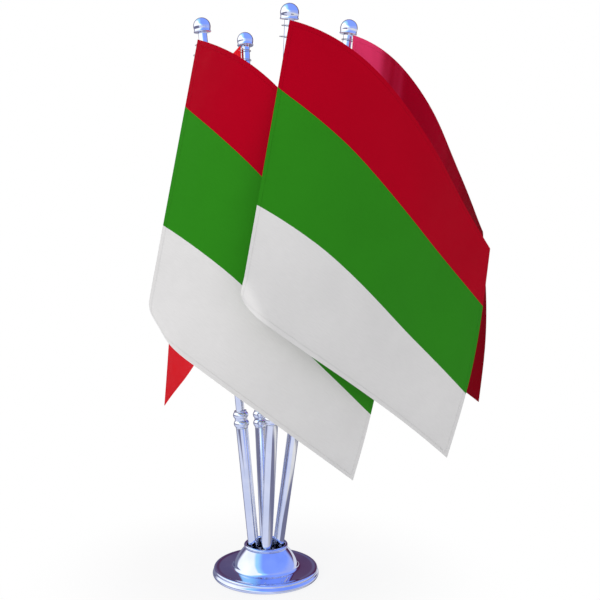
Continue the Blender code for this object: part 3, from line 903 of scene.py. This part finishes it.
def studio_colour(tree):
    """What polished surfaces see in each direction: white left, blue right, dark behind."""
    way = node(tree, "SeparateXYZ", Vector=node(tree, "TexCoord").outputs["Generated"])
    x, y, z = way.outputs
    slate = (0.2, 0.2, 0.3, 1.0)
    # Above the horizon: sky blue, then cyan and white to the left, and plum behind.
    higher = smooth_step(tree, z, 0.2, 0.45)
    blue = mix(tree, higher, (0.4, 0.5, 0.98, 1.0), (0.27, 0.42, 1.12, 1.0))
    leftward = minus(tree, smooth_step(tree, z, 0.2, 0.6, 0.0, -0.42), x)
    pale = mix(tree, smooth_step(tree, leftward, -0.3, 0.1), blue, (0.5, 0.95, 1.25, 1.0))
    front = mix(tree, smooth_step(tree, leftward, 0.1, 0.26), pale, (1.35, 1.35, 1.35, 1.0))
    rightward = smooth_step(tree, x, -0.2, 0.25)
    plum = mix(tree, rightward, (0.15, 0.13, 0.24, 1.0), (0.09, 0.02, 0.07, 1.0))
    above = mix(tree, smooth_step(tree, y, 0.5, 0.75), front, plum)
    # Below it: lilac, warmer far to the right, and periwinkle on the right near the horizon.
    warmer = smooth_step(tree, x, 0.3, 0.7)
    lilac = mix(tree, warmer, (0.74, 0.78, 0.96, 1.0), (0.84, 0.82, 0.8, 1.0))
    near_level = product(tree, smooth_step(tree, z, -0.16, -0.04), smooth_step(tree, x, 0.0, 0.3))
    lilac = mix(tree, near_level, lilac, (0.42, 0.52, 0.98, 1.0))
    # A slate band low on the right, and one at the horizon on the left.
    low = product(
        tree,
        smooth_step(tree, z, -0.62, -0.46),
        smooth_step(tree, z, -0.33, -0.37),
        smooth_step(tree, x, 0.18, 0.34),
    )
    flat = product(
        tree,
        smooth_step(tree, z, -0.26, -0.2),
        smooth_step(tree, z, 0.07, 0.03),
        smooth_step(tree, x, -0.45, -0.65),
    )
    banded = mix(tree, sums(tree, "MAXIMUM", low, flat), lilac, slate)
    # Below it and behind: slate, with a paler strip on the right near the horizon.
    right = mix(tree, smooth_step(tree, z, -0.24, -0.18), slate, (0.8, 0.8, 0.86, 1.0))
    side = mix(tree, smooth_step(tree, x, -0.3, 0.3), (0.26, 0.26, 0.36, 1.0), right)
    below = mix(tree, smooth_step(tree, y, 0.2, 0.7), banded, side)
    return mix(tree, smooth_step(tree, z, 0.03, 0.09), below, above)


def stage_world():
    """White behind the object, an even light on it, and the studio in its reflections."""
    world = bpy.data.worlds.new("studio")
    bpy.context.scene.world = world
    world.use_nodes = True
    tree = world.node_tree
    tree.nodes.clear()
    glossy = node(tree, "Background", Color=studio_colour(tree), Strength=1.0)
    even = node(tree, "Background", Color=(0.92, 0.94, 0.98, 1.0), Strength=0.38)
    plain = node(tree, "Background", Color=WHITE, Strength=1.0)
    path = node(tree, "LightPath")
    lit = either(tree, path.outputs["Is Glossy Ray"], even, glossy)
    shown = either(tree, path.outputs["Is Camera Ray"], lit, plain)
    feed(tree, node(tree, "OutputWorld").inputs["Surface"], shown.outputs[0])


def softbox(name, place, aim, width, height, power, colour):
    """A rectangular light that faces a point, and that polished surfaces don't show."""
    light = bpy.data.lights.new(name, "AREA")
    light.shape = "RECTANGLE"
    light.size = width
    light.size_y = height
    light.energy = power
    light.color = colour
    made = bpy.data.objects.new(name, light)
    made.location = place
    made.rotation_euler = (Vector(aim) - Vector(place)).to_track_quat("-Z", "Y").to_euler()
    made.visible_glossy = False
    bpy.context.collection.objects.link(made)


def stage_camera():
    """The camera, as fitted to the base, the poles and the finials in the photo."""
    pitch, yaw, roll = CAMERA_PITCH, CAMERA_YAW, CAMERA_ROLL
    facing = (math.cos(pitch) * math.sin(yaw), math.cos(pitch) * math.cos(yaw), math.sin(pitch))
    forward = Vector(facing)
    level = Vector((math.cos(yaw), -math.sin(yaw), 0.0))
    upright = level.cross(forward)
    right = level * math.cos(roll) + upright * math.sin(roll)
    up = upright * math.cos(roll) - level * math.sin(roll)
    data = bpy.data.cameras.new("camera")
    data.sensor_width = CAMERA_SENSOR
    data.lens = CAMERA_LENS
    data.clip_start = CAMERA_NEAREST
    camera = bpy.data.objects.new("camera", data)
    turn = Matrix((right, up, -forward)).transposed().to_4x4()
    camera.matrix_world = Matrix.Translation(CAMERA_PLACE) @ turn
    bpy.context.collection.objects.link(camera)
    bpy.context.scene.camera = camera


# ----------------------------------------------------------------------- build


def carry_over(name, look):
    """A CAD node that stays, with a better material."""
    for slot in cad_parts[name].material_slots:
        slot.material = look


# Both platings are tinted cool blue, the base more strongly: a painted reflection of blue sky in the
# metal's own colour.
plating = chrome("plating", (0.74, 0.78, 0.88, 1.0), (0.86, 0.88, 0.93, 1.0))
base_plating = chrome("base_plating", (0.62, 0.68, 0.86, 1.0), (0.76, 0.8, 0.93, 1.0))
cord_look = cord_material("twisted_cord")
striped = satin("satin_striped", striped_colour, 0.005, (1.0, 0.9, 0.9, 1.0), 0.03, 0.5)
red = satin("satin_red", plain_red, 0.01, (1.0, 0.6, 0.7, 1.0), 0.05, 0.45)
crimson = satin("satin_crimson", red_with_painted_sheen, 0.08, (1.0, 0.02, 0.15, 1.0), 0.01, 0.36)
cloths = {"front": striped, "left": striped, "back": red, "right": crimson}

carry_over("base_pad", moulded("pad_rubber", (0.035, 0.035, 0.04, 1.0), 900.0, 0.8))
# The block's pale blue is painted light: it is lightened to stand in for the blue reflections inside the
# cup.
carry_over("socket_block", moulded("block_plastic", (0.7, 0.76, 0.98, 1.0), 500.0, 0.35))
carry_over("ballast_plate", raw_iron("ballast_iron"))
steel = brushed("zinc_steel")
carry_over("clamp_screw", steel)
carry_over("clamp_washer", steel)

base_mesh = lathe("turned_base", base_profile(), BASE_TURNS, base_plating)
show("turned_base", base_mesh, "base", "base_shell")
ferrule = lathe("ferrule", ferrule_profile(), TURNS, plating)
finial = lathe("finial", finial_profile(), TURNS, plating, closed=False)
for pole in FLAGS:
    axis = pole_frame(pole)
    extra = TUBE_EXTRAS[pole]
    raised = axis @ Matrix.Translation((0.0, 0.0, extra))
    tube = lathe("lower_tube", tube_profile(extra), TURNS, plating)
    rod = lathe("upper_rod", rod_profile(extra), TURNS, plating)
    show("turned_tube_" + pole, tube, "base", "lower_tube_" + pole, axis)
    show("turned_ferrule_" + pole, ferrule, "base", "ferrule_" + pole, raised)
    show("turned_rod_" + pole, rod, "rod_" + pole, "upper_rod_" + pole, axis)
    show("turned_finial_" + pole, finial, "rod_" + pole, "finial_" + pole, axis)
    cloth = show("cloth_" + pole, flag_mesh(pole, cloths[pole]), "flag_" + pole, "flag_" + pole)
    loops = [show_loop(pole, number, cord_look) for number in range(len(LOOP_DROPS))]

stage_floor()
stage_world()
softbox("key", (-0.75, -1.1, 0.75), (0.03, 0.0, 0.25), 0.7, 0.9, 7.6, (1.0, 0.99, 0.97))
softbox("fill", (1.1, -0.7, 0.5), (0.0, 0.0, 0.2), 0.8, 0.8, 0.5, (0.9, 0.95, 1.0))
softbox("top", (0.1, 0.1, 1.3), (0.0, 0.0, 0.0), 0.9, 0.9, 3.5, (1.0, 1.0, 1.0))
softbox("rear", (0.2, 1.3, 0.6), (0.0, 0.0, 0.2), 0.9, 0.9, 2.5, (1.0, 1.0, 1.0))
stage_camera()
bpy.context.scene.view_settings.view_transform = "Standard"
